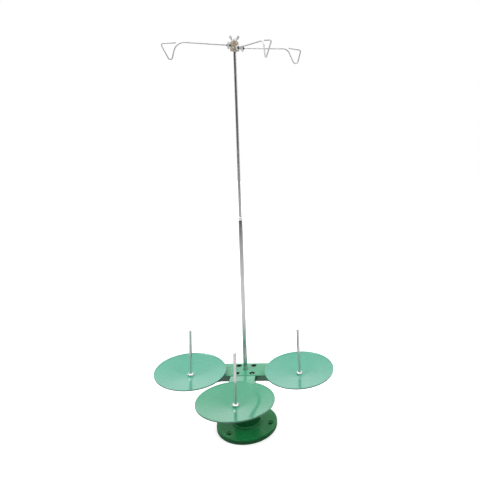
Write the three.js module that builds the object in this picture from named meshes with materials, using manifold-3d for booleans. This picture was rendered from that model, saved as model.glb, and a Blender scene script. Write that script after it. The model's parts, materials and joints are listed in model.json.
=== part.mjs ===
// Three-cone thread stand: a cast pedestal, a T of flat arms with three dished discs and spindles,
// a two-stage mast and a head that carries three bent wire thread guides.
// Millimetres, +Z up, the origin at the centre of the underside of the base flange, front toward -Y.
import * as THREE from "three";
import { mergeVertices } from "three/addons/utils/BufferGeometryUtils.js";
import Module from "manifold-3d";

const wasm = await Module();
wasm.setup();

// ---- driving dimensions ----
const GAP = 0.3;
const FLANGE = { radius: 55, thick: 9, bevel: 1.2 };
const FLANGE_HOLES = { count: 3, circle: 43.5, first: -128, radius: 3.5, sink: 6.5 };
const PEDESTAL = { ring: 27.5, ringTop: 12.5, boss: 24.5, bossTop: 44, stem: 15, stemFrom: 66 };
const TOP_PLATE = { half: 19.5, thick: 8 };
const BAR = { bottom: 102, top: 113.4, half: 22.2, straight: 40, endRadius: 19 };
const ARM = { half: 21.6, middle: -1.3, straight: 26, drop: 0.5, lapTop: 106 };
const SCREW = { at: 13.5, head: 4.2, tall: 4.4, sunk: 0.6, shank: 2.5, bottom: 90 };
const SOCKET = { radius: 2.1, deep: 3 };
const POCKET = { radius: 4.7, deep: 5.3 };
const DISH = { radius: 60, depth: 10.5, floor: 11, sheet: 1.2, rimZ: 126.5, pad: 13 };
const LIP = { wide: 2.4, tall: 2, drop: 1.1, edge: 0.5, foot: 0.9 };
const SPINDLE = { radius: 2.4, top: 76, bottom: -31.8, nose: 1.2, collar: 5.3, collarTall: 3.6 };
const SPINDLE_NUT = { flats: 8, tall: 4, top: -25.2 };
const TUBE = { radius: 3.5, bore: 2.7, bottom: 57, top: 384.5 };
const ROD = { radius: 2.4, bottom: 230, top: 667.5 };
const STOP = { radius: 3.3, tall: 5.6 };
const HUB = { bottom: 648, step: 651.6, top: 661.3, radius: 6.2, foot: 6.9 };
const WING = { body: 4.6, crown: 3.6, tall: 4.2 };
const EAR = { rootX: 3.2, rootZ: 1.6, tipX: 6, tipZ: 6.6, tip: 2, neck: 1.3, thick: 1.7 };
const GUIDE = { wire: 0.9, stud: 1.7, studFrom: 4.8, studPast: 1.4 };

// Each disc stands on the end of one arm and leans a little toward the mast (degrees about X and Y).
const SEATS = {
  left: { x: -90.6, y: -24, leanX: 2.3, leanY: 3.3 },
  right: { x: 96.9, y: -23.3, leanX: 2.5, leanY: -1.8 },
  front: { x: 0.6, y: -116, leanX: -3.4, leanY: 0.6 },
};

// Each guide wire leaves the head at its own azimuth, height and pitch (degrees, millimetres), with a
// locking nut of its own size. The hook is a list of corners: distance along the arm, height off its
// line and, but for the free end, the radius of the bend.
const GUIDES = {
  left: {
    azimuth: 184,
    height: 655.6,
    pitch: 2,
    nut: { at: 7.5, flats: 9.5, tall: 3.1 },
    hook: [[86.9, 0, 17], [95.2, -30.9, 3.2], [109.9, -3.8, 2.5], [87.9, -1.5]],
  },
  right: {
    azimuth: -10,
    height: 652,
    pitch: -2,
    nut: { at: 11.2, flats: 8.7, tall: 2.8 },
    hook: [[82.8, 0, 11.5], [97.1, -27.9, 4], [103.4, -1.8, 2.1], [85.3, 0.8]],
  },
  front: {
    azimuth: -55,
    height: 651,
    pitch: -2.2,
    nut: { at: 10.5, flats: 7, tall: 2.8 },
    hook: [[88.6, 0, 11], [94, -25.7, 2.4], [110.6, -2.7, 1.8], [90.8, -0.4]],
  },
};

const FINE = 60;
const ROUND = 24;
const SMALL = 16;
const WIRE_SIDES = 10;
const BEND_STEPS = 7;
const GREEN = 0x2e8b62;
const STEEL = 0xb9bcbe;

const deg = THREE.MathUtils.degToRad;
const object = new THREE.Group();

// ---- geometry helpers ----

// A solid of revolution about Z from a closed or axis-to-axis list of [radius, z].
function turned(profile, segments = ROUND) {
  const points = profile.map(([r, z]) => new THREE.Vector2(r, z));
  if (THREE.ShapeUtils.area(points) < 0) points.reverse();
  return new THREE.LatheGeometry(points, segments).rotateX(Math.PI / 2);
}

// A cylinder with a small bevel on both ends.
function rod(radius, from, to, bevel = 0, segments = ROUND) {
  if (!bevel) return turned([[0, from], [radius, from], [radius, to], [0, to]], segments);
  const inner = radius - bevel;
  return turned(
    [[0, from], [inner, from], [radius, from + bevel], [radius, to - bevel], [inner, to], [0, to]],
    segments,
  );
}

// A ring with a round bore.
function ring(outer, inner, from, to, bevel = 0, segments = ROUND) {
  const profile = bevel
    ? [[inner, from], [outer - bevel, from], [outer, from + bevel], [outer, to - bevel], [outer - bevel, to]]
    : [[inner, from], [outer, from], [outer, to]];
  profile.push([inner, to], [inner, from]);
  return turned(profile, segments);
}

// A flat plate from an outline of [x, y].
function plate(outline, from, to) {
  const shape = new THREE.Shape(outline.map(([x, y]) => new THREE.Vector2(x, y)));
  return new THREE.ExtrudeGeometry(shape, { depth: to - from, bevelEnabled: false }).translate(0, 0, from);
}

// A block given by its middle and half width in X, its range in Y and its range in Z.
function block(middleX, halfX, y0, y1, z0, z1) {
  return new THREE.BoxGeometry(2 * halfX, y1 - y0, z1 - z0).translate(middleX, (y0 + y1) / 2, (z0 + z1) / 2);
}

// The same geometry as a solid that can be joined and cut.
function solid(geometry) {
  const bare = geometry.clone();
  bare.deleteAttribute("normal");
  bare.deleteAttribute("uv");
  const welded = mergeVertices(bare, 1e-4);
  const mesh = new wasm.Mesh({
    numProp: 3,
    vertProperties: welded.attributes.position.array,
    triVerts: new Uint32Array(welded.index.array),
  });
  return new wasm.Manifold(mesh);
}

function joined(first, ...others) {
  return others.reduce((sum, other) => sum.add(solid(other)), solid(first));
}

function cut(body, ...tools) {
  return tools.reduce((rest, tool) => rest.subtract(solid(tool)), body);
}

function geometryOf(body) {
  const mesh = body.getMesh();
  const geometry = new THREE.BufferGeometry();
  geometry.setAttribute("position", new THREE.BufferAttribute(new Float32Array(mesh.vertProperties), 3));
  geometry.setIndex(new THREE.BufferAttribute(new Uint32Array(mesh.triVerts), 1));
  return geometry;
}

// Adds one named piece to a group.
function piece(parent, name, geometry, colour, metalness = 0.9) {
  const material = new THREE.MeshStandardMaterial({ color: colour, metalness, roughness: 0.3 });
  const mesh = new THREE.Mesh(geometry, material);
  mesh.name = name;
  parent.add(mesh);
}

// The four corners round the mast where the arm screws stand.
function screwSpots() {
  const a = SCREW.at;
  return [[-a, a], [a, a], [-a, -a], [a, -a]];
}

// ---- pedestal ----

// The space of one countersunk screw hole through the flange.
function countersink() {
  const { radius, sink } = FLANGE_HOLES;
  const top = FLANGE.thick;
  const sinkFrom = top - (sink - radius);
  return turned([[0, -1], [radius, -1], [radius, sinkFrom], [sink, top], [sink, top + 1], [0, top + 1]], SMALL);
}

function addBase() {
  const { radius: R, thick, bevel } = FLANGE;
  const p = PEDESTAL;
  const plateFrom = BAR.bottom - GAP - TOP_PLATE.thick;
  const body = joined(
    turned(
      [
        [0, 0],
        [R - 0.6, 0],
        [R, 0.6],
        [R, thick - bevel],
        [R - bevel, thick],
        [p.ring + 0.8, thick],
        [p.ring, thick + 0.8],
        [p.ring, p.ringTop - 0.8],
        [p.ring - 0.8, p.ringTop],
        [p.boss, p.ringTop],
        [p.boss, p.bossTop],
        [p.stem, p.stemFrom],
        [p.stem, plateFrom + 2],
        [0, plateFrom + 2],
      ],
      FINE,
    ),
    block(0, TOP_PLATE.half, -TOP_PLATE.half, TOP_PLATE.half, plateFrom, plateFrom + TOP_PLATE.thick),
  );
  const tools = [rod(TUBE.radius + GAP, TUBE.bottom - GAP, BAR.bottom)];
  const { count, circle, first } = FLANGE_HOLES;
  for (let i = 0; i < count; i += 1) {
    const angle = deg(first + (i * 360) / count);
    tools.push(countersink().translate(circle * Math.cos(angle), circle * Math.sin(angle), 0));
  }
  for (const [x, y] of screwSpots()) {
    tools.push(rod(SCREW.shank + GAP, SCREW.bottom - 0.5, BAR.bottom, 0, SMALL).translate(x, y, 0));
  }
  piece(object, "base_casting", geometryOf(cut(body, ...tools)), GREEN, 0.1);
}

// ---- arms ----

// The frame of one disc: its origin at the middle of the rim, its Z along the spindle.
function seatFrame(seat) {
  const frame = new THREE.Group();
  frame.position.set(seat.x, seat.y, DISH.rimZ);
  frame.rotation.set(deg(seat.leanX), deg(seat.leanY), 0);
  frame.updateMatrix();
  return frame;
}

// The raised round pad a disc stands on, reaching down into the arm.
function seatPad(seat) {
  const top = -DISH.depth - DISH.sheet - GAP;
  return rod(DISH.pad, top - 5, top, 0, ROUND).applyMatrix4(seatFrame(seat).matrix);
}

function spindleHole(seat) {
  return rod(SPINDLE.radius + GAP, -40, 0, 0, SMALL).applyMatrix4(seatFrame(seat).matrix);
}

// The round end of an arm, from one tangent point to the other.
function roundEnd(cx, cy, radius, from, to, steps = 14) {
  const points = [];
  for (let i = 0; i <= steps; i += 1) {
    const a = deg(from + ((to - from) * i) / steps);
    points.push([cx + radius * Math.cos(a), cy + radius * Math.sin(a)]);
  }
  return points;
}

function addCrossBar() {
  const { left, right } = SEATS;
  const outline = [
    [BAR.straight, -BAR.half],
    ...roundEnd(right.x, right.y, BAR.endRadius, -110, 70),
    [BAR.straight, BAR.half],
    [-BAR.straight, BAR.half],
    ...roundEnd(left.x, left.y, BAR.endRadius, 110, 290),
    [-BAR.straight, -BAR.half],
  ];
  const body = joined(plate(outline, BAR.bottom, BAR.top), seatPad(left), seatPad(right));
  const slotEnd = BAR.half + 2;
  const tools = [
    block(ARM.middle, ARM.half + GAP, -slotEnd, slotEnd, BAR.bottom - 2, ARM.lapTop + GAP),
    rod(TUBE.radius + GAP, BAR.bottom, BAR.top + 2),
    spindleHole(left),
    spindleHole(right),
  ];
  for (const [x, y] of screwSpots()) {
    tools.push(rod(POCKET.radius, BAR.top - POCKET.deep, BAR.top + 2, 0, SMALL).translate(x, y, 0));
    tools.push(rod(SCREW.shank + GAP, BAR.bottom, BAR.top, 0, SMALL).translate(x, y, 0));
  }
  piece(object, "cross_bar", geometryOf(cut(body, ...tools)), GREEN, 0.1);
}

function addFrontArm() {
  const { front } = SEATS;
  const { middle, half } = ARM;
  const from = -BAR.half - GAP;
  const straightTo = from - ARM.straight;
  const outline = [
    [middle + half, from],
    [middle - half, from],
    [middle - half, straightTo],
    ...roundEnd(front.x, front.y, BAR.endRadius, -180, 0),
    [middle + half, straightTo],
  ];
  const body = joined(
    plate(outline, BAR.bottom, BAR.top - ARM.drop),
    block(middle, half, from - 3, BAR.half, BAR.bottom, ARM.lapTop),
    seatPad(front),
  );
  const tools = [rod(TUBE.radius + GAP, BAR.bottom - 1, BAR.top), spindleHole(front)];
  for (const [x, y] of screwSpots()) {
    tools.push(rod(SCREW.shank + GAP, BAR.bottom - 1, BAR.top, 0, SMALL).translate(x, y, 0));
  }
  piece(object, "front_arm", geometryOf(cut(body, ...tools)), GREEN, 0.1);
}

// A socket head screw: a shank, a head with a small bevel and a hexagon socket in its top.
function addArmScrews() {
  const { head, shank, bottom } = SCREW;
  const bevel = 0.6;
  const top = BAR.top - SCREW.sunk;
  const under = top - SCREW.tall;
  const profile = [
    [0, bottom],
    [shank, bottom],
    [shank, under],
    [head, under],
    [head, top - bevel],
    [head - bevel, top],
    [0, top],
  ];
  const drive = rod(SOCKET.radius, top - SOCKET.deep, top + 1, 0, 6);
  const names = ["back_left", "back_right", "front_left", "front_right"];
  screwSpots().forEach(([x, y], i) => {
    const body = cut(solid(turned(profile, SMALL)), drive);
    piece(object, "arm_screw_" + names[i], geometryOf(body).translate(x, y, 0), 0x3a3c3d);
  });
}

// ---- discs and spindles ----

// The sheet of a disc: a flat floor, a shallow cone and a flattened rim that turns down.
function dishProfile() {
  const { radius, depth, floor, sheet } = DISH;
  const { drop, edge } = LIP;
  const hole = SPINDLE.radius + GAP;
  const shoulder = radius - LIP.wide;
  const lipEnd = -edge - LIP.tall;
  return [
    [hole, -depth],
    [floor, -depth],
    [shoulder, -drop],
    [radius - edge, -0.1],
    [radius, -edge],
    [radius, lipEnd],
    [radius - LIP.foot, lipEnd],
    [shoulder, -drop - sheet],
    [floor + 0.4, -depth - sheet],
    [hole, -depth - sheet],
    [hole, -depth],
  ];
}

// A hexagon nut with turned corners, two of its corners on the X axis.
function hexNut(flats, bore, from, to) {
  const corner = flats / Math.sqrt(3);
  const body = solid(rod(corner, from, to, 0, 6));
  const round = rod(corner * 1.02, from, to, 0.5, ROUND);
  const bored = cut(body.intersect(solid(round)), rod(bore, from - 1, to + 1, 0, SMALL));
  return geometryOf(bored).rotateZ(Math.PI / 2);
}

function addSpoolSeat(side, seat) {
  const frame = seatFrame(seat);
  const s = SPINDLE;
  const floor = -DISH.depth;
  piece(frame, "dish_" + side, turned(dishProfile(), FINE), GREEN, 0.1);
  const shaft = turned(
    [
      [0, s.bottom],
      [s.radius, s.bottom],
      [s.radius, s.top - s.nose],
      [s.radius - s.nose * 0.8, s.top],
      [0, s.top],
    ],
    SMALL,
  );
  piece(frame, "spindle_" + side, shaft, STEEL);
  const collar = ring(s.collar, s.radius + GAP, floor + GAP, floor + GAP + s.collarTall, 0.7);
  piece(frame, "spindle_collar_" + side, collar, STEEL);
  const { flats, tall, top } = SPINDLE_NUT;
  const nut = hexNut(flats, s.radius + GAP, top - tall, top);
  piece(frame, "spindle_nut_" + side, nut, STEEL);
  object.add(frame);
}

// ---- mast ----

function addMast() {
  const tube = ring(TUBE.radius, TUBE.bore, TUBE.bottom, TUBE.top, 0.5);
  piece(object, "mast_tube", tube, STEEL);
  const shaft = rod(ROD.radius, ROD.bottom, ROD.top, 0.6, SMALL);
  piece(object, "mast_rod", shaft, 0x9a9c9e);
  const stopFrom = TUBE.top + GAP;
  const stop = ring(STOP.radius, ROD.radius + GAP, stopFrom, stopFrom + STOP.tall, 0.25);
  piece(object, "rod_stop_ring", stop, 0xd5d6d4);
}

// ---- head ----

// Turns a piece made along +Z so that it leaves the mast along one guide's line.
function guideFrame(guide) {
  const frame = new THREE.Group();
  frame.position.set(0, 0, guide.height);
  frame.rotation.order = "ZYX";
  frame.rotation.set(0, deg(90 - guide.pitch), deg(guide.azimuth));
  frame.updateMatrix();
  return frame;
}

function addHub() {
  const h = HUB;
  const body = joined(
    turned(
      [
        [0, h.bottom],
        [h.foot - 0.5, h.bottom],
        [h.foot, h.bottom + 0.5],
        [h.foot, h.step - 0.5],
        [h.radius, h.step],
        [h.radius, h.top - 0.8],
        [h.radius - 0.8, h.top],
        [0, h.top],
      ],
      ROUND,
    ),
  );
  const tools = [rod(ROD.radius + GAP, h.bottom - 1, h.top + 1, 0, SMALL)];
  for (const guide of Object.values(GUIDES)) {
    tools.push(rod(GUIDE.stud + GAP, 0.5, 12, 0, SMALL).applyMatrix4(guideFrame(guide).matrix));
  }
  piece(object, "head_hub", geometryOf(cut(body, ...tools)), 0x9a8c7a);
}

// One ear of the wing nut: a paddle that widens from its root to a round tip, upright in X and Z.
function wingEar() {
  const { rootX, rootZ, tipX, tipZ, tip, neck, thick } = EAR;
  const lean = Math.atan2(tipZ - rootZ, tipX - rootX);
  const across = lean - Math.PI / 2;
  const ear = new THREE.Shape();
  ear.moveTo(rootX + neck * Math.cos(across), rootZ + neck * Math.sin(across));
  ear.absarc(tipX, tipZ, tip, across, across + Math.PI, false);
  ear.lineTo(rootX - neck * Math.cos(across), rootZ - neck * Math.sin(across));
  const settings = { depth: thick, bevelEnabled: false, curveSegments: 8 };
  return new THREE.ExtrudeGeometry(ear, settings).translate(0, 0, -thick / 2).rotateX(Math.PI / 2);
}

function addWingNut() {
  const { body, crown, tall } = WING;
  const from = HUB.top + GAP;
  const to = from + tall;
  const core = turned([[0, from], [body, from], [crown, to - 0.5], [crown - 0.5, to], [0, to]]);
  const ear = wingEar().translate(0, 0, from);
  const bore = rod(ROD.radius + GAP, from - 1, to + 1, 0, SMALL);
  const nut = cut(joined(core, ear, ear.clone().rotateZ(Math.PI)), bore);
  piece(object, "wing_nut", geometryOf(nut), STEEL);
}

// The stations of a wire bent in a plane: where each is and which way the wire runs there.
function wireStations(start, corners) {
  const places = [start, ...corners].map(([along, up]) => new THREE.Vector2(along, up));
  const stations = [];
  for (let i = 1; i < places.length; i += 1) {
    const into = places[i].clone().sub(places[i - 1]);
    const heading = into.angle();
    if (i === 1) stations.push({ place: places[0], heading });
    if (i === places.length - 1) {
      stations.push({ place: places[i], heading });
      continue;
    }
    const out = places[i + 1].clone().sub(places[i]);
    const turn = Math.atan2(into.cross(out), into.dot(out));
    const radius = corners[i - 1][2] * Math.sign(turn);
    const reach = radius * Math.tan(turn / 2);
    const bendFrom = places[i].clone().sub(into.setLength(reach));
    const toCentre = new THREE.Vector2(-Math.sin(heading), Math.cos(heading)).multiplyScalar(radius);
    const centre = bendFrom.add(toCentre);
    for (let step = 0; step <= BEND_STEPS; step += 1) {
      const at = heading + (turn * step) / BEND_STEPS;
      const place = new THREE.Vector2(Math.sin(at), -Math.cos(at)).multiplyScalar(radius).add(centre);
      stations.push({ place, heading: at });
    }
  }
  return stations;
}

// A round wire through its stations. Distance along the arm is Z here and height off its line is -X.
function bentWire(stations, radius) {
  const positions = [];
  const triangles = [];
  const last = (stations.length - 1) * WIRE_SIDES;
  for (const { place, heading } of stations) {
    for (let k = 0; k < WIRE_SIDES; k += 1) {
      const a = (2 * Math.PI * k) / WIRE_SIDES;
      const lift = radius * Math.cos(a);
      const along = place.x - lift * Math.sin(heading);
      const up = place.y + lift * Math.cos(heading);
      positions.push(-up, radius * Math.sin(a), along);
    }
  }
  for (let k = 0; k < WIRE_SIDES; k += 1) {
    const next = (k + 1) % WIRE_SIDES;
    for (let base = 0; base < last; base += WIRE_SIDES) {
      triangles.push(base + k, base + WIRE_SIDES + k, base + next);
      triangles.push(base + next, base + WIRE_SIDES + k, base + WIRE_SIDES + next);
    }
    if (k > 0 && next > 0) triangles.push(0, k, next, last, last + next, last + k);
  }
  const geometry = new THREE.BufferGeometry();
  geometry.setAttribute("position", new THREE.Float32BufferAttribute(positions, 3));
  geometry.setIndex(triangles);
  return geometry;
}

function addGuide(side, guide) {
  const g = GUIDE;
  const { at, flats, tall } = guide.nut;
  const frame = guideFrame(guide);
  const studTo = at + tall + g.studPast;
  const stud = rod(g.stud, g.studFrom, studTo, 0.4, SMALL);
  const wire = bentWire(wireStations([studTo - 2, 0], guide.hook), g.wire);
  piece(frame, "guide_wire_" + side, geometryOf(joined(stud, wire)), STEEL);
  piece(frame, "guide_nut_" + side, hexNut(flats, g.stud + GAP, at, at + tall), STEEL);
  object.add(frame);
}

addBase();
addCrossBar();
addFrontArm();
addArmScrews();
Object.entries(SEATS).forEach(([side, seat]) => addSpoolSeat(side, seat));
addMast();
addHub();
addWingNut();
Object.entries(GUIDES).forEach(([side, guide]) => addGuide(side, guide));

export default object;
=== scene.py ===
# Looks of the thread cone stand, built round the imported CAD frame.
# Metres, Z up, the front arm toward -Y, the origin under the middle of the base flange.
import json
import math

import bmesh
import bpy
from mathutils import Matrix, Vector


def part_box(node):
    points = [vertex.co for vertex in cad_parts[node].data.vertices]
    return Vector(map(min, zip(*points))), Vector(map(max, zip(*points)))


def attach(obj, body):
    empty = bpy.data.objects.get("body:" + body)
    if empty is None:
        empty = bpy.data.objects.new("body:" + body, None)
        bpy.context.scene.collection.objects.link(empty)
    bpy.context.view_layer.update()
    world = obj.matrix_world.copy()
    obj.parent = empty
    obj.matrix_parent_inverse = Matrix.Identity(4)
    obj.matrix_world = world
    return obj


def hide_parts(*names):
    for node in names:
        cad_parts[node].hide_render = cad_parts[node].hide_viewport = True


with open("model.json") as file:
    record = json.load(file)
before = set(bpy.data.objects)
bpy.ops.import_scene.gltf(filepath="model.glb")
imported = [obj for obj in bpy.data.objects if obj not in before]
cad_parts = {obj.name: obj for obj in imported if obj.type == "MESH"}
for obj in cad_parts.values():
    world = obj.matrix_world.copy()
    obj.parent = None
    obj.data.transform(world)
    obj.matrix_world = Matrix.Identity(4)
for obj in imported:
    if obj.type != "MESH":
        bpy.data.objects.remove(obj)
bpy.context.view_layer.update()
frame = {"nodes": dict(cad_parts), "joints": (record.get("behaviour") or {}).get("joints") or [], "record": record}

MM = 0.001
SIDES = ("left", "right", "front")
CORNERS = ("back_left", "back_right", "front_left", "front_right")
JOINTS = {joint["name"]: joint for joint in frame["joints"]}
BODY_OF = {node: body for body, nodes in frame["record"]["behaviour"]["bodies"].items() for node in nodes}


# ---- camera ----

CAMERA_AT = (0.10641, -0.71060, 0.50270)
CAMERA_TURN = (77.92, -0.30, -2.07)
LENS = 32.20
SHIFT_X = -0.1667


def add_camera():
    data = bpy.data.cameras.new("camera")
    data.lens = LENS
    data.sensor_width = 36
    data.shift_x = SHIFT_X
    data.clip_start = 0.01
    camera = bpy.data.objects.new("camera", data)
    camera.location = CAMERA_AT
    camera.rotation_euler = [math.radians(a) for a in CAMERA_TURN]
    bpy.context.scene.collection.objects.link(camera)
    bpy.context.scene.camera = camera


# ---- mesh helpers ----

def mm(*values):
    return [v * MM for v in values]


def new_object(name, mesh):
    obj = bpy.data.objects.new(name, mesh)
    bpy.context.scene.collection.objects.link(obj)
    return obj


def mesh_from(name, verts, faces):
    mesh = bpy.data.meshes.new(name)
    mesh.from_pydata([tuple(c * MM for c in v) for v in verts], [], faces)
    bm = bmesh.new()
    bm.from_mesh(mesh)
    bmesh.ops.remove_doubles(bm, verts=bm.verts, dist=1e-6)
    bmesh.ops.recalc_face_normals(bm, faces=bm.faces)
    bm.to_mesh(mesh)
    bm.free()
    return new_object(name, mesh)


def fillet(points, steps=5, closed=False, tight=True):
    """The points (x, y[, radius]) as (x, y), each corner that has a radius turned into an arc.

    A tight fillet never takes more than half of a side."""
    out = []
    count = len(points)
    for i, point in enumerate(points):
        here = Vector(point[:2])
        radius = point[2] if len(point) > 2 else 0
        if not radius or (not closed and i in (0, count - 1)):
            out.append(tuple(here))
            continue
        before = Vector(points[i - 1][:2])
        after = Vector(points[(i + 1) % count][:2])
        to_before, to_after = (before - here).normalized(), (after - here).normalized()
        half = to_before.angle(to_after) / 2
        if half > math.radians(89.5):
            out.append(tuple(here))
            continue
        reach = radius / math.tan(half)
        if tight:
            reach = min(reach, 0.49 * (before - here).length, 0.49 * (after - here).length)
        bend = reach * math.tan(half)
        centre = here + (to_before + to_after).normalized() * (bend / math.sin(half))
        start, end = here + to_before * reach - centre, here + to_after * reach - centre
        first = math.atan2(start.y, start.x)
        turn = math.remainder(math.atan2(end.y, end.x) - first, 2 * math.pi)
        for k in range(steps + 1):
            a = first + turn * k / steps
            out.append((centre.x + bend * math.cos(a), centre.y + bend * math.sin(a)))
    return out


def lathe(name, profile, segments=96, closed=False):
    """A body turned about Z from (radius, z) points, in millimetres."""
    verts, faces = [], []
    count = len(profile)
    for k in range(segments):
        a = 2 * math.pi * k / segments
        verts += [(r * math.cos(a), r * math.sin(a), z) for r, z in profile]
    last = count if closed else count - 1
    for k in range(segments):
        here, there = k * count, ((k + 1) % segments) * count
        for i in range(last):
            j = (i + 1) % count
            faces.append((here + i, there + i, there + j, here + j))
    return mesh_from(name, verts, clean_faces(verts, faces))


def clean_faces(verts, faces):
    """The faces with the corners that fall on each other taken out."""
    kept = []
    for face in faces:
        ring = []
        for index in face:
            if all((Vector(verts[index]) - Vector(verts[other])).length > 1e-5 for other in ring):
                ring.append(index)
        if len(ring) > 2:
            kept.append(tuple(ring))
    return kept


def slab(name, outline, low, high):
    """A flat plate from a closed outline of (x, y), in millimetres."""
    count = len(outline)
    verts = [(x, y, low) for x, y in outline] + [(x, y, high) for x, y in outline]
    faces = [tuple(range(count))[::-1], tuple(range(count, 2 * count))]
    faces += [(i, (i + 1) % count, count + (i + 1) % count, count + i) for i in range(count)]
    return mesh_from(name, verts, faces)


def apply_modifiers(obj):
    depsgraph = bpy.context.evaluated_depsgraph_get()
    depsgraph.update()
    mesh = bpy.data.meshes.new_from_object(obj.evaluated_get(depsgraph))
    obj.modifiers.clear()
    obj.data = mesh
    return obj


def combine(obj, tool, operation):
    """Joins or cuts obj with tool, which is used up."""
    modifier = obj.modifiers.new("combine", "BOOLEAN")
    modifier.object = tool
    modifier.operation = operation
    modifier.solver = "EXACT"
    apply_modifiers(obj)
    bpy.data.objects.remove(tool)
    return obj


def soften(obj, width, segments=3, angle=35):
    """Rounds the sharp edges of obj by width, in millimetres."""
    modifier = obj.modifiers.new("edges", "BEVEL")
    modifier.width = width * MM
    modifier.segments = segments
    modifier.limit_method = "ANGLE"
    modifier.angle_limit = math.radians(angle)
    return apply_modifiers(obj)


def smooth(obj, angle=40):
    for polygon in obj.data.polygons:
        polygon.use_smooth = True
    obj.data.set_sharp_from_angle(angle=math.radians(angle))
    return obj


def move(obj, matrix):
    obj.data.transform(matrix)
    return obj


def hand_over(obj, node, material, body=None, replaces=True):
    """Gives obj its material and slot, and makes it ride where the CAD node rides."""
    smooth(obj)
    obj.data.materials.clear()
    obj.data.materials.append(material)
    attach(obj, body or BODY_OF[node])
    if replaces:
        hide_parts(node)
    return obj


# ---- places taken from the frame ----

def end_middle(node, top):
    """The middle of the top or bottom end of an upright CAD piece."""
    corners = {tuple(round(c, 5) for c in v.co) for v in frame["nodes"][node].data.vertices}
    level = max(c[2] for c in corners) if top else min(c[2] for c in corners)
    near = [Vector(c) for c in corners if abs(c[2] - level) < 0.5 * MM]
    return sum(near, Vector()) / len(near)


# A spindle and its nut, in the frame of the disc.
SPINDLE = 2.4
SPINDLE_TOP = 76
SPINDLE_END = -31.8
SPINDLE_NUT = {"flats": 8, "low": -29.2, "high": -25.2}


def seat_matrix(side):
    """The frame of one disc: origin in the middle of its rim, Z along its spindle."""
    top, bottom = end_middle("spindle_" + side, True), end_middle("spindle_" + side, False)
    up = (top - bottom).normalized()
    turn = Vector((0, 0, 1)).rotation_difference(up).to_matrix().to_4x4()
    return Matrix.Translation(top - up * SPINDLE_TOP * MM) @ turn


def guide_matrix(side):
    """The frame of one guide wire: origin on the mast axis, Z out along the wire, X downward."""
    joint = JOINTS["guide_twist_" + side]
    along = Vector(joint["axis"]).normalized()
    sideways = Vector((0, 0, 1)).cross(along).normalized()
    down = sideways.cross(along)
    turn = Matrix((down, sideways, along)).transposed().to_4x4()
    return Matrix.Translation(Vector(joint["pos_m"])) @ turn


def low_mm(node, axis=2):
    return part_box(node)[0][axis] / MM


def high_mm(node, axis=2):
    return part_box(node)[1][axis] / MM


# ---- materials ----

class Nodes:
    """A small helper round one material's node tree."""

    def __init__(self, name):
        self.material = bpy.data.materials.new(name)
        self.material.use_nodes = True
        self.tree = self.material.node_tree
        self.shader = self.tree.nodes["Principled BSDF"]
        self.coordinates = self.add("ShaderNodeTexCoord")
        self.place = self.coordinates.outputs["Object"]

    def add(self, kind, **values):
        node = self.tree.nodes.new(kind)
        for key, value in values.items():
            setattr(node, key, value)
        return node

    def link(self, source, target):
        self.tree.links.new(source, target)

    def set(self, **values):
        for key, value in values.items():
            self.shader.inputs[key.replace("_", " ")].default_value = value

    def noise(self, scale, detail=3, roughness=0.5, stretch=None):
        node = self.add("ShaderNodeTexNoise")
        node.inputs["Scale"].default_value = scale
        node.inputs["Detail"].default_value = detail
        node.inputs["Roughness"].default_value = roughness
        source = self.place
        if stretch:
            mapping = self.add("ShaderNodeMapping")
            mapping.inputs["Scale"].default_value = stretch
            self.link(source, mapping.inputs["Vector"])
            source = mapping.outputs["Vector"]
        self.link(source, node.inputs["Vector"])
        return node.outputs["Fac"]

    def ramp(self, source, stops):
        node = self.add("ShaderNodeValToRGB")
        elements = node.color_ramp.elements
        for element, (position, colour) in zip(elements, stops):
            element.position = position
            element.color = colour
        for position, colour in stops[2:]:
            elements.new(position).color = colour
        self.link(source, node.inputs["Fac"])
        return node.outputs["Color"]

    def range(self, source, low, high, start=0.3, end=0.7):
        node = self.add("ShaderNodeMapRange")
        for key, value in (("From Min", start), ("From Max", end), ("To Min", low), ("To Max", high)):
            node.inputs[key].default_value = value
        self.link(source, node.inputs["Value"])
        return node.outputs["Result"]

    def math(self, operation, first, second):
        node = self.add("ShaderNodeMath", operation=operation)
        self.link(first, node.inputs[0])
        self.link(second, node.inputs[1])
        return node.outputs["Value"]

    def mix(self, factor, first, second):
        node = self.add("ShaderNodeMix", data_type="RGBA")
        for socket, value in ((0, factor), (6, first), (7, second)):
            if isinstance(value, bpy.types.NodeSocket):
                self.link(value, node.inputs[socket])
            else:
                node.inputs[socket].default_value = value
        return node.outputs[2]

    def bump(self, height, distance, strength=1.0, below=None):
        node = self.add("ShaderNodeBump")
        node.inputs["Distance"].default_value = distance
        node.inputs["Strength"].default_value = strength
        self.link(height, node.inputs["Height"])
        if below:
            self.link(below, node.inputs["Normal"])
        return node.outputs["Normal"]


def grey(value):
    return (value, value, value, 1)


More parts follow.
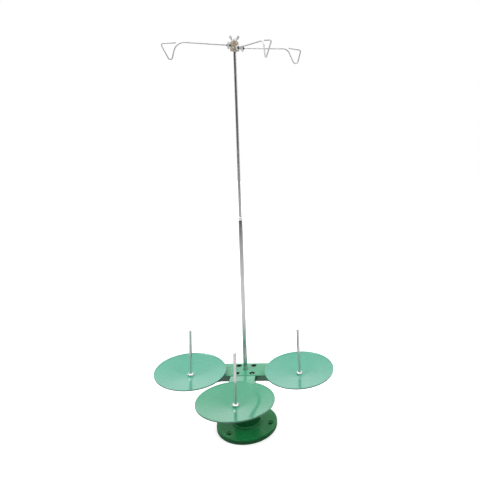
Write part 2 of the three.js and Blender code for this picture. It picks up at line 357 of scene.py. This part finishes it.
def enamel(name, deep, pale, cast, coat=0.9, sides=1.0):
    """Gloss paint: a colour that drifts a little, an orange-peel skin and pale edges that are partly worn paint
    and partly a painted highlight.

    The colour of upright faces is multiplied by sides, a painted shade for faces that take less of the light from
    above."""
    n = Nodes(name)
    drift = n.noise(22, 4, 0.6)
    colour = n.ramp(drift, [(0.32, (*deep, 1)), (0.68, (*pale, 1))])
    specks = n.ramp(n.noise(900, 2, 0.5), [(0.60, grey(0)), (0.72, grey(1))])
    worn = n.mix(specks, colour, (pale[0] * 1.25, pale[1] * 1.1, pale[2] * 1.2, 1))
    # Pale sharp edges: partly rubbed-through paint, partly a painted highlight.
    edges = n.add("ShaderNodeNewGeometry").outputs["Pointiness"]
    worn_and_highlit_edges = n.range(edges, 0.0, 0.35, 0.53, 0.60)
    light = (min(1, pale[0] * 1.9 + 0.05), min(1, pale[1] * 1.35), min(1, pale[2] * 1.6 + 0.03), 1)
    # Painted shade: faces that stand upright are darkened by the factor sides.
    upright = n.add("ShaderNodeSeparateXYZ")
    n.link(n.coordinates.outputs["Normal"], upright.inputs["Vector"])
    painted_side_shade = n.add("ShaderNodeMix", data_type="RGBA", blend_type="MULTIPLY")
    painted_side_shade.inputs[0].default_value = 1.0
    n.link(worn, painted_side_shade.inputs[6])
    n.link(n.ramp(upright.outputs["Z"], [(0.1, grey(sides)), (0.8, grey(1))]), painted_side_shade.inputs[7])
    n.link(n.mix(worn_and_highlit_edges, painted_side_shade.outputs[2], light), n.shader.inputs["Base Color"])
    n.link(n.range(drift, 0.22, 0.34), n.shader.inputs["Roughness"])
    peel = n.bump(n.noise(420, 2), 0.00006 if cast else 0.00003, 0.6)
    if cast:
        peel = n.bump(n.noise(70, 3, 0.55), 0.0005, 0.5, peel)
    n.link(peel, n.shader.inputs["Normal"])
    n.set(Coat_Weight=coat, Coat_Roughness=0.06, Coat_IOR=1.5, Specular_IOR_Level=0.5 * coat)
    return n.material


def plated(name, tone, rough, tint=(1, 1, 1), drawn=0.00003):
    """Bright plating on drawn metal: fine lengthways lines and faint cloudy tarnish."""
    n = Nodes(name)
    cloud = n.noise(35, 4, 0.6)
    dull = [tone * 0.86 * c for c in tint]
    clean = [tone * c for c in tint]
    n.link(n.ramp(cloud, [(0.3, (*dull, 1)), (0.7, (*clean, 1))]), n.shader.inputs["Base Color"])
    n.link(n.range(cloud, rough * 1.5, rough * 0.8), n.shader.inputs["Roughness"])
    lines = n.noise(260, 3, 0.6, stretch=(6, 6, 0.25))
    n.link(n.bump(lines, drawn, 0.35), n.shader.inputs["Normal"])
    n.set(Metallic=1.0)
    return n.material


def cast_metal(name, dark, light, rough, metallic=0.85):
    """Dull die-cast metal with a mottled skin."""
    n = Nodes(name)
    mottle = n.noise(240, 4, 0.6)
    n.link(n.ramp(mottle, [(0.3, (*dark, 1)), (0.7, (*light, 1))]), n.shader.inputs["Base Color"])
    n.link(n.range(mottle, rough * 1.2, rough * 0.85), n.shader.inputs["Roughness"])
    n.link(n.bump(n.noise(900, 3), 0.0001, 0.5), n.shader.inputs["Normal"])
    n.set(Metallic=metallic)
    return n.material


def floor_paper():
    """Pale paper that the camera sees fade to white; none of the glow reaches the stand."""
    n = Nodes("floor_paper")
    fibre = n.noise(90, 3)
    n.link(n.ramp(fibre, [(0.3, grey(0.70)), (0.7, grey(0.72))]), n.shader.inputs["Base Color"])
    distance = n.add("ShaderNodeVectorMath", operation="LENGTH")
    n.link(n.place, distance.inputs[0])
    outside = n.range(distance.outputs["Value"], 0.0, 0.60, 0.0540, 0.0548)
    far = n.range(distance.outputs["Value"], 0.0, 0.40, 0.10, 0.55)
    seen = n.add("ShaderNodeLightPath").outputs["Is Camera Ray"]
    glow = n.math("MULTIPLY", n.math("ADD", outside, far), seen)
    n.link(glow, n.shader.inputs["Emission Strength"])
    n.set(Roughness=1.0, Specular_IOR_Level=0.0, Emission_Color=grey(1))
    return n.material


# ---- pedestal and arms ----

FLANGE = {"radius": 55, "thick": 9, "hole": 3.5, "sink": 6.5, "circle": 43.5, "first": -128}
PLATE_HALF = 19.5
PLATE_THICK = 8
SCREW_AT = 13.5
SCREW_HEAD = 4.2
SCREW_TALL = 4.4
SCREW_SUNK = 0.6
SOCKET = 2.3
SOCKET_DEEP = 3
POCKET = 4.7
POCKET_DEEP = 5.3
TUBE_HOLE = 4.2
DISH_RADIUS = 60
DISH_DEPTH = 10.5
DISH_SHEET = 1.2
PAD_RADIUS = 13
ARM_END = 19
BAR_HALF = 22.2
BAR_STRAIGHT = 40
ARM_HALF = 21.6
ARM_MIDDLE = -1.3
ARM_STRAIGHT = 26
SEAM = 0.3


def base_profile():
    """Half the outline of the pedestal, from the underside of the flange up to the stem."""
    edge, thick = FLANGE["radius"], FLANGE["thick"]
    ring, ring_top, boss = 27.5, 12.6, 24.5
    stem, stem_top = 15, high_mm("base_casting") - 7
    return fillet([
        (0, 0), (edge - 0.8, 0, 0.8), (edge, 1.2, 0.8), (edge, thick - 0.8, 1.6), (edge - 1.4, thick, 1.4),
        (ring + 1.1, thick, 1.4), (ring, 10.2, 0.9), (ring, 12.0, 1.0), (ring - 0.9, ring_top, 0.8),
        (boss + 0.4, ring_top, 0.8), (boss, 14, 1.0), (boss, 44, 8), (stem, 66, 10),
        (stem, stem_top - 3, 4), (18, stem_top + 1), (0, stem_top + 1),
    ], 6)


def countersink(angle):
    """The space of one countersunk screw hole, reaching past both faces of the flange."""
    hole, sink, thick = FLANGE["hole"], FLANGE["sink"], FLANGE["thick"]
    low, high = -2, thick + 3
    profile = [(0, low), (hole, low), (hole, thick - (sink - hole)), (sink, thick), (sink, high), (0, high)]
    tool = lathe("countersink", profile, 40)
    place = Matrix.Rotation(math.radians(angle), 4, "Z") @ Matrix.Translation(mm(FLANGE["circle"], 0, 0))
    return move(tool, place)


def straight_hole(radius, low, high, x=0, y=0):
    tool = lathe("hole", [(0, low), (radius, low), (radius, high), (0, high)], 40)
    return move(tool, Matrix.Translation(mm(x, y, 0)))


def screw_spots():
    a = SCREW_AT
    return dict(zip(CORNERS, [(-a, a), (a, a), (-a, -a), (a, -a)]))


def make_base(paint):
    top = high_mm("base_casting")
    h = PLATE_HALF
    obj = lathe("pedestal", base_profile(), 128)
    square = fillet([(-h, -h, 4), (h, -h, 4), (h, h, 4), (-h, h, 4)], 5, True)
    plate = slab("plate", square, top - PLATE_THICK, top)
    obj = combine(obj, soften(plate, 0.8), "UNION")
    for k in range(3):
        obj = combine(obj, countersink(FLANGE["first"] + 120 * k), "DIFFERENCE")
    hand_over(obj, "base_casting", paint)


def round_end(cx, cy, radius, start, end, steps=28):
    angles = [math.radians(start + (end - start) * i / steps) for i in range(steps + 1)]
    return [(cx + radius * math.cos(a), cy + radius * math.sin(a)) for a in angles]


def seat_pad(side):
    top = -DISH_DEPTH - DISH_SHEET - SEAM
    profile = fillet([(0, top - 5), (PAD_RADIUS, top - 5), (PAD_RADIUS, top, 0.7), (0, top)])
    return move(lathe("pad", profile, 64), seat_matrix(side))


def end_spot(side):
    """Where a disc's spindle crosses the arms, in millimetres."""
    place = seat_matrix(side).translation / MM
    return place.x, place.y


def pocket(x, y, top):
    """The space of one screw pocket, its mouth a little wider."""
    floor = top - POCKET_DEEP
    mouth = POCKET + 0.6
    profile = [
        (0, floor), (POCKET, floor), (POCKET, top - 0.5), (mouth, top + 0.2), (mouth, top + 1), (0, top + 1),
    ]
    return move(lathe("pocket", profile, 48), Matrix.Translation(mm(x, y, 0)))


def bar_top():
    """The top of the cross bar: the screw heads are sunk under it by SCREW_SUNK."""
    return high_mm("arm_screw_back_left") + SCREW_SUNK


def make_cross_bar(paint):
    low, high = low_mm("cross_bar"), bar_top()
    outline = [
        (BAR_STRAIGHT, -BAR_HALF),
        *round_end(*end_spot("right"), ARM_END, -110, 70),
        (BAR_STRAIGHT, BAR_HALF),
        (-BAR_STRAIGHT, BAR_HALF),
        *round_end(*end_spot("left"), ARM_END, 110, 290),
        (-BAR_STRAIGHT, -BAR_HALF),
    ]
    obj = soften(slab("cross_bar_skin", outline, low, high), 0.7)
    for side in ("left", "right"):
        obj = combine(obj, seat_pad(side), "UNION")
    for px, py in screw_spots().values():
        obj = combine(obj, pocket(px, py, high), "DIFFERENCE")
    obj = combine(obj, straight_hole(TUBE_HOLE, low - 1, high + 1), "DIFFERENCE")
    hand_over(obj, "cross_bar", paint)


def make_front_arm(paint):
    low, high = low_mm("front_arm"), bar_top() - 0.5
    left, right = ARM_MIDDLE - ARM_HALF, ARM_MIDDLE + ARM_HALF
    start = -BAR_HALF - SEAM
    bend = start - ARM_STRAIGHT
    nose = round_end(*end_spot("front"), ARM_END, 0, -180)
    outline = [(right, start), (right, bend), *nose, (left, bend), (left, start)]
    obj = soften(slab("front_arm_skin", outline, low, high), 0.6)
    obj = combine(obj, seat_pad("front"), "UNION")
    hand_over(obj, "front_arm", paint)


def make_arm_screws(black, bright):
    """Four socket head screws; the socket of the front right one has a shiny domed floor."""
    for corner, (x, y) in screw_spots().items():
        node = "arm_screw_" + corner
        place = Matrix.Translation(mm(x, y, 0))
        top = high_mm(node)
        under, floor = top - SCREW_TALL, top - SOCKET_DEEP
        profile = fillet([(0, under), (SCREW_HEAD, under, 0.3), (SCREW_HEAD, top, 0.7), (0, top)])
        obj = lathe(node + "_head", profile, 48)
        drive = lathe("drive", [(0, floor), (SOCKET, floor), (SOCKET, top + 1), (0, top + 1)], 6)
        obj = combine(obj, drive, "DIFFERENCE")
        hand_over(move(obj, place), node, black)
        if corner == "front_right":
            shine = fillet([(0, top - 3.2), (2.0, top - 3.2), (2.0, top - 0.9, 0.8), (0, top - 0.6)])
            hand_over(move(lathe("socket_floor", shine, 32), place), node, bright, replaces=False)


# ---- discs and spindles ----

def dish_profile():
    """Floor, shallow cone and flattened rim that turns down, then back along the underside."""
    edge, floor = DISH_RADIUS, -DISH_DEPTH
    under = floor - DISH_SHEET
    return fillet([
        (0, floor), (9.8, floor, 3), (11.6, floor + 0.15, 3), (edge - 3, -1.25, 3), (edge - 1.8, -0.4, 1.2),
        (edge - 0.6, -0.1, 0.6), (edge, -0.5, 0.4), (edge, -2.4, 0.35), (edge - 0.8, -2.45, 0.35),
        (edge - 2.2, -2.3, 1.5), (11.8, under + 0.2, 3), (9.5, under, 3), (0, under),
    ], 6)


def thread(radius, low, high, pitch=0.8, depth=0.28):
    """Profile points of a screwed length, from low to high."""
    points = []
    turns = int((high - low) / pitch)
    for k in range(turns):
        z = low + k * pitch
        points += [(radius - depth, z), (radius, z + pitch * 0.45), (radius, z + pitch * 0.55)]
    points.append((radius - depth, low + turns * pitch))
    return points


def hex_nut(name, flats, bore, low, high, chamfer=0.55):
    corner = flats / math.sqrt(3)
    obj = lathe(name, [(0, low), (corner, low), (corner, high), (0, high)], 6)
    turned = fillet([
        (0, low), (flats / 2 - 0.1, low), (corner + 0.05, low + chamfer), (corner + 0.05, high - chamfer),
        (flats / 2 - 0.1, high), (0, high),
    ])
    obj = combine(obj, lathe("chamfer", turned, 64), "INTERSECT")
    mouth = bore + 0.5
    tool = [
        (0, low - 1), (mouth, low - 1), (mouth, low), (bore, low + 0.5), (bore, high - 0.5), (mouth, high),
        (mouth, high + 1), (0, high + 1),
    ]
    return combine(obj, lathe("bore", tool, 40), "DIFFERENCE")


def make_spool_seat(side, paint, chrome, bright, zinc):
    place = seat_matrix(side)
    dish = lathe("disc_" + side, dish_profile(), 192)
    hand_over(move(dish, place), "dish_" + side, paint)
    top = SPINDLE_TOP
    end = SPINDLE_END
    profile = [(0, end), (SPINDLE - 0.5, end), *thread(SPINDLE, end + 0.4, -23.2), (SPINDLE, -22.8)]
    profile += fillet([
        (SPINDLE, -22.7), (SPINDLE, top - 2.6), (SPINDLE, top - 1.2, 1.0), (1.3, top - 0.1, 0.8), (0, top),
    ], 6)
    hand_over(move(lathe("pin_" + side, profile, 40), place), "spindle_" + side, chrome)
    floor = -DISH_DEPTH + 0.05
    collar = fillet([
        (2.45, floor), (4.5, floor), (4.5, floor + 0.8), (5.3, floor + 0.9, 0.3), (5.3, floor + 2.2, 0.7),
        (4.4, floor + 3.6, 1.2), (3.2, floor + 3.8, 0.5), (2.45, floor + 3.4),
    ])
    hand_over(move(lathe("collar_" + side, collar, 56, True), place), "spindle_collar_" + side, bright)
    n = SPINDLE_NUT
    nut = hex_nut("nut_" + side, n["flats"], SPINDLE + 0.02, n["low"], n["high"])
    hand_over(move(nut, place), "spindle_nut_" + side, zinc)


# ---- mast ----

TUBE = 3.5
ROD = 2.4
RING = 3.3
ROD_THREAD_FROM = 646.5


def make_mast(tube_metal, rod_metal, ring_metal):
    """The lower tube, the upper rod with its screwed top, and the bright ring that stops the rod."""
    low, high = low_mm("mast_tube"), high_mm("mast_tube")
    profile = fillet([(2.6, low), (TUBE, low, 0.4), (TUBE, high, 0.5), (2.9, high, 0.2), (2.6, high - 0.4)])
    hand_over(lathe("lower_tube", profile, 64, True), "mast_tube", tube_metal)
    low, high = low_mm("mast_rod"), high_mm("mast_rod")
    profile = [(0, low), (ROD - 0.5, low), (ROD, low + 0.5), (ROD, ROD_THREAD_FROM)]
    profile += [*thread(ROD, ROD_THREAD_FROM + 0.3, high - 0.8), (1.8, high - 0.1), (0, high)]
    hand_over(lathe("upper_rod", profile, 48), "mast_rod", rod_metal)
    low, high = low_mm("rod_stop_ring"), high_mm("rod_stop_ring")
    bore = ROD + 0.05
    profile = fillet([(bore, low), (RING, low, 0.3), (RING, high - 0.8, 0.6), (2.9, high, 0.4), (bore, high)])
    hand_over(lathe("stop_ring", profile, 56, True), "rod_stop_ring", ring_metal)


# ---- head ----

HUB = 6.2
HUB_FOOT = 6.9
HUB_STEP = 3.6


def make_hub(metal):
    low, high = low_mm("head_hub"), high_mm("head_hub")
    step = low + HUB_STEP
    profile = fillet([
        (2.6, low), (HUB_FOOT, low, 0.6), (HUB_FOOT, step - 0.4, 0.5), (HUB, step, 0.3),
        (HUB, high - 0.2, 1.1),
        (4.6, high, 0.3), (2.6, high),
    ])
    obj = lathe("hub", profile, 64, True)
    for side in SIDES:
        tool = lathe("stud_hole", [(0, 4.2), (1.9, 4.2), (1.9, 5.8), (2.3, 6.6), (2.3, 9), (0, 9)], 32)
        obj = combine(obj, move(tool, guide_matrix(side)), "DIFFERENCE")
    hand_over(obj, "head_hub", metal)


def ear_outline():
    """A paddle that widens from its root to a round tip, as (x, height over the foot of the nut)."""
    root, tip = Vector((3.2, 1.6)), Vector((6.0, 6.6))
    across = math.degrees(math.atan2(tip.y - root.y, tip.x - root.x)) - 90
    neck = Vector((math.cos(math.radians(across)), math.sin(math.radians(across)))) * 1.3
    return [tuple(root + neck), *round_end(*tip, 2.0, across, across + 180), tuple(root - neck)]


def make_wing_nut(metal):
    low = low_mm("wing_nut")
    body = lathe("wing_body", fillet([(0, low), (4.6, low, 0.4), (3.7, low + 4.2, 0.8), (0, low + 4.2)]), 48)
    for turn in (0, math.pi):
        wing = soften(slab("ear", ear_outline(), -0.85, 0.85), 0.55, 3)
        turned = Matrix.Rotation(turn, 4, "Z") @ Matrix.Rotation(math.pi / 2, 4, "X")
        body = combine(body, move(wing, Matrix.Translation(mm(0, 0, low)) @ turned), "UNION")
    tool = lathe("bore", [(0, low - 1), (2.45, low - 1), (2.45, low + 6), (0, low + 6)], 40)
    hand_over(combine(body, tool, "DIFFERENCE"), "wing_nut", metal)


# The corners of each hook: distance along the wire, height off its line and the radius of the bend.
HOOKS = {
    "left": [(86.9, 0, 17), (95.2, -30.9, 3.2), (109.9, -3.8, 2.5), (87.9, -1.5)],
    "right": [(82.8, 0, 11.5), (97.1, -27.9, 4), (103.4, -1.8, 2.1), (85.3, 0.8)],
    "front": [(88.6, 0, 11), (94, -25.7, 2.4), (110.6, -2.7, 1.8), (90.8, -0.4)],
}
# The locking nut of each wire: where it starts, its width across flats and its thickness.
WIRE_NUTS = {"left": (7.5, 9.5, 3.1), "right": (11.2, 8.7, 2.8), "front": (10.5, 7, 2.8)}
WIRE = 0.9
STUD = 1.7
STUD_FROM = 4.9
STUD_PAST = 1.4


def sweep(name, path, radius, sides=20):
    """A round wire along a path in the X-Z plane, with domed ends, in millimetres."""
    rings = []
    across = Vector((0, 1, 0))
    count = len(path)
    dome = [(math.sin(a), 1 - math.cos(a)) for a in (0.15, 0.5, 0.9, 1.3)]
    first = (path[1] - path[0]).normalized()
    last = (path[-1] - path[-2]).normalized()
    stations = [(path[0] + first * radius * (d - 1), first, s) for s, d in dome]
    for i, point in enumerate(path):
        tangent = (path[min(i + 1, count - 1)] - path[max(i - 1, 0)]).normalized()
        stations.append((point, tangent, 1))
    stations += [(path[-1] + last * radius * (1 - d), last, s) for s, d in reversed(dome)]
    for point, tangent, size in stations:
        side = tangent.cross(across).normalized()
        rings.append([
            point + (side * math.cos(a) + across * math.sin(a)) * radius * size
            for a in (2 * math.pi * k / sides for k in range(sides))
        ])
    verts = [v for ring in rings for v in ring]
    faces = []
    for i in range(len(rings) - 1):
        for k in range(sides):
            j = (k + 1) % sides
            faces.append((i * sides + k, i * sides + j, (i + 1) * sides + j, (i + 1) * sides + k))
    faces.append(tuple(range(sides))[::-1])
    faces.append(tuple(range((len(rings) - 1) * sides, len(rings) * sides)))
    return mesh_from(name, verts, faces)


def make_guide(side, wire_metal, nut_metal, stud_metal):
    place = guide_matrix(side)
    nut_from, flats, tall = WIRE_NUTS[side]
    far = nut_from + tall + STUD_PAST
    bends = fillet([(far - 2, 0), *HOOKS[side]], 12, tight=False)
    path = [Vector((-up, 0, along)) for along, up in bends]
    hand_over(move(sweep("wire_" + side, path, WIRE), place), "guide_wire_" + side, wire_metal)
    profile = [(0, STUD_FROM), (1.4, STUD_FROM), *thread(STUD, STUD_FROM + 0.2, far - 0.5, 0.7, 0.22)]
    profile += [(1.3, far), (0.9, far + 0.1), (0, far + 0.1)]
    stud = move(lathe("stud_" + side, profile, 32), place)
    hand_over(stud, "guide_wire_" + side, stud_metal, replaces=False)
    nut = hex_nut("wire_nut_" + side, flats, STUD + 0.02, nut_from, nut_from + tall, 0.45)
    hand_over(move(nut, place), "guide_nut_" + side, nut_metal)


# ---- studio ----

def add_floor():
    size = 6
    mesh = bpy.data.meshes.new("floor")
    bm = bmesh.new()
    bmesh.ops.create_grid(bm, x_segments=8, y_segments=8, size=size)
    bm.to_mesh(mesh)
    bm.free()
    floor = new_object("floor", mesh)
    floor.location.z = -0.0002
    mesh.materials.append(floor_paper())


def add_area_light(name, place, target, size, power):
    data = bpy.data.lights.new(name, "AREA")
    data.shape = "RECTANGLE"
    data.size, data.size_y = size
    data.energy = power
    light = bpy.data.objects.new(name, data)
    light.location = place
    aim = Vector(target) - Vector(place)
    light.rotation_euler = aim.to_track_quat("-Z", "Y").to_euler()
    bpy.context.scene.collection.objects.link(light)


def smooth_step(tree, source, start, end, low, high):
    """A value that goes softly from low to high while source goes from start to end."""
    node = tree.nodes.new("ShaderNodeMapRange")
    node.interpolation_type = "SMOOTHSTEP"
    for key, value in (("From Min", start), ("From Max", end), ("To Min", low), ("To Max", high)):
        node.inputs[key].default_value = value
    tree.links.new(source, node.inputs["Value"])
    return node.outputs["Result"]


def larger(tree, first, second):
    node = tree.nodes.new("ShaderNodeMath")
    node.operation = "MAXIMUM"
    tree.links.new(first, node.inputs[0])
    tree.links.new(second, node.inputs[1])
    return node.outputs["Value"]


def add_world():
    """White all round for the camera; for light and reflections, a bright sky over a dim room in front."""
    world = bpy.data.worlds.new("studio")
    bpy.context.scene.world = world
    world.use_nodes = True
    tree = world.node_tree
    tree.nodes.clear()
    add = tree.nodes.new
    place = add("ShaderNodeTexCoord").outputs["Generated"]
    split = add("ShaderNodeSeparateXYZ")
    tree.links.new(place, split.inputs["Vector"])
    behind = smooth_step(tree, split.outputs["Y"], -0.55, 0.25, 0.06, 1.0)
    above = smooth_step(tree, split.outputs["Z"], 0.35, 0.75, 0.0, 1.0)
    seen = add("ShaderNodeLightPath").outputs["Is Camera Ray"]
    strength = larger(tree, larger(tree, behind, above), seen)
    background = add("ShaderNodeBackground")
    background.inputs["Color"].default_value = grey(1)
    tree.links.new(strength, background.inputs["Strength"])
    output = add("ShaderNodeOutputWorld")
    tree.links.new(background.outputs["Background"], output.inputs["Surface"])


def add_studio():
    add_floor()
    add_world()
    add_area_light("key", (-0.9, -0.5, 1.9), (0, 0, 0.2), (1.2, 1.2), 22)
    add_area_light("fill", (1.3, -0.6, 1.5), (0, 0, 0.2), (1.0, 1.0), 10)
    view = bpy.context.scene.view_settings
    view.view_transform = "Standard"
    view.look = "None"
    view.exposure = 0
    view.gamma = 1


def add_pieces():
    # The last number of each enamel darkens its upright faces as painted shade.
    paint = enamel("green_cast_paint", (0.012, 0.205, 0.056), (0.019, 0.25, 0.074), True, 0.2, 0.5)
    arm_paint = enamel("green_arm_paint", (0.035, 0.285, 0.145), (0.048, 0.325, 0.17), True, 0.7, 0.35)
    side_disc = enamel("green_disc_paint", (0.06, 0.33, 0.225), (0.075, 0.365, 0.25), False, 0.9, 0.3)
    # A darker copy of the same disc paint for the front disc: painted shade.
    shaded_front_disc_paint = enamel("green_disc_paint_shaded_front", (0.026, 0.27, 0.145), (0.038, 0.30, 0.165), False, 0.9, 0.3)
    chrome = plated("spindle_chrome", 0.62, 0.16, drawn=0.000008)
    bright = plated("collar_chrome", 0.88, 0.16)
    tube_metal = plated("tube_plating", 0.60, 0.16, drawn=0.000008)
    rod_metal = plated("rod_plating", 0.66, 0.22, drawn=0.000005)
    ring_metal = plated("ring_plating", 0.88, 0.28, (1, 1, 0.97))
    zinc = plated("zinc_plating", 0.66, 0.26, (0.97, 1, 1.0))
    wire_metal = plated("wire_plating", 0.52, 0.40, drawn=0.000004)
    dull_zinc = cast_metal("dull_zinc", (0.52, 0.52, 0.52), (0.72, 0.73, 0.73), 0.4, 0.3)
    black = cast_metal("black_steel", (0.006, 0.006, 0.006), (0.016, 0.016, 0.016), 0.45)
    head_metal = cast_metal("head_casting", (0.30, 0.245, 0.18), (0.46, 0.40, 0.31), 0.42, 0.35)
    make_base(paint)
    make_cross_bar(arm_paint)
    make_front_arm(arm_paint)
    make_arm_screws(black, bright)
    for side in SIDES:
        # The front disc takes the darker copy of the disc paint, painted shade.
        disc_paint = shaded_front_disc_paint if side == "front" else side_disc
        make_spool_seat(side, disc_paint, chrome, bright, zinc)
        make_guide(side, wire_metal, dull_zinc, black)
    make_mast(tube_metal, rod_metal, ring_metal)
    make_hub(head_metal)
    make_wing_nut(dull_zinc)


add_camera()
add_studio()
add_pieces()
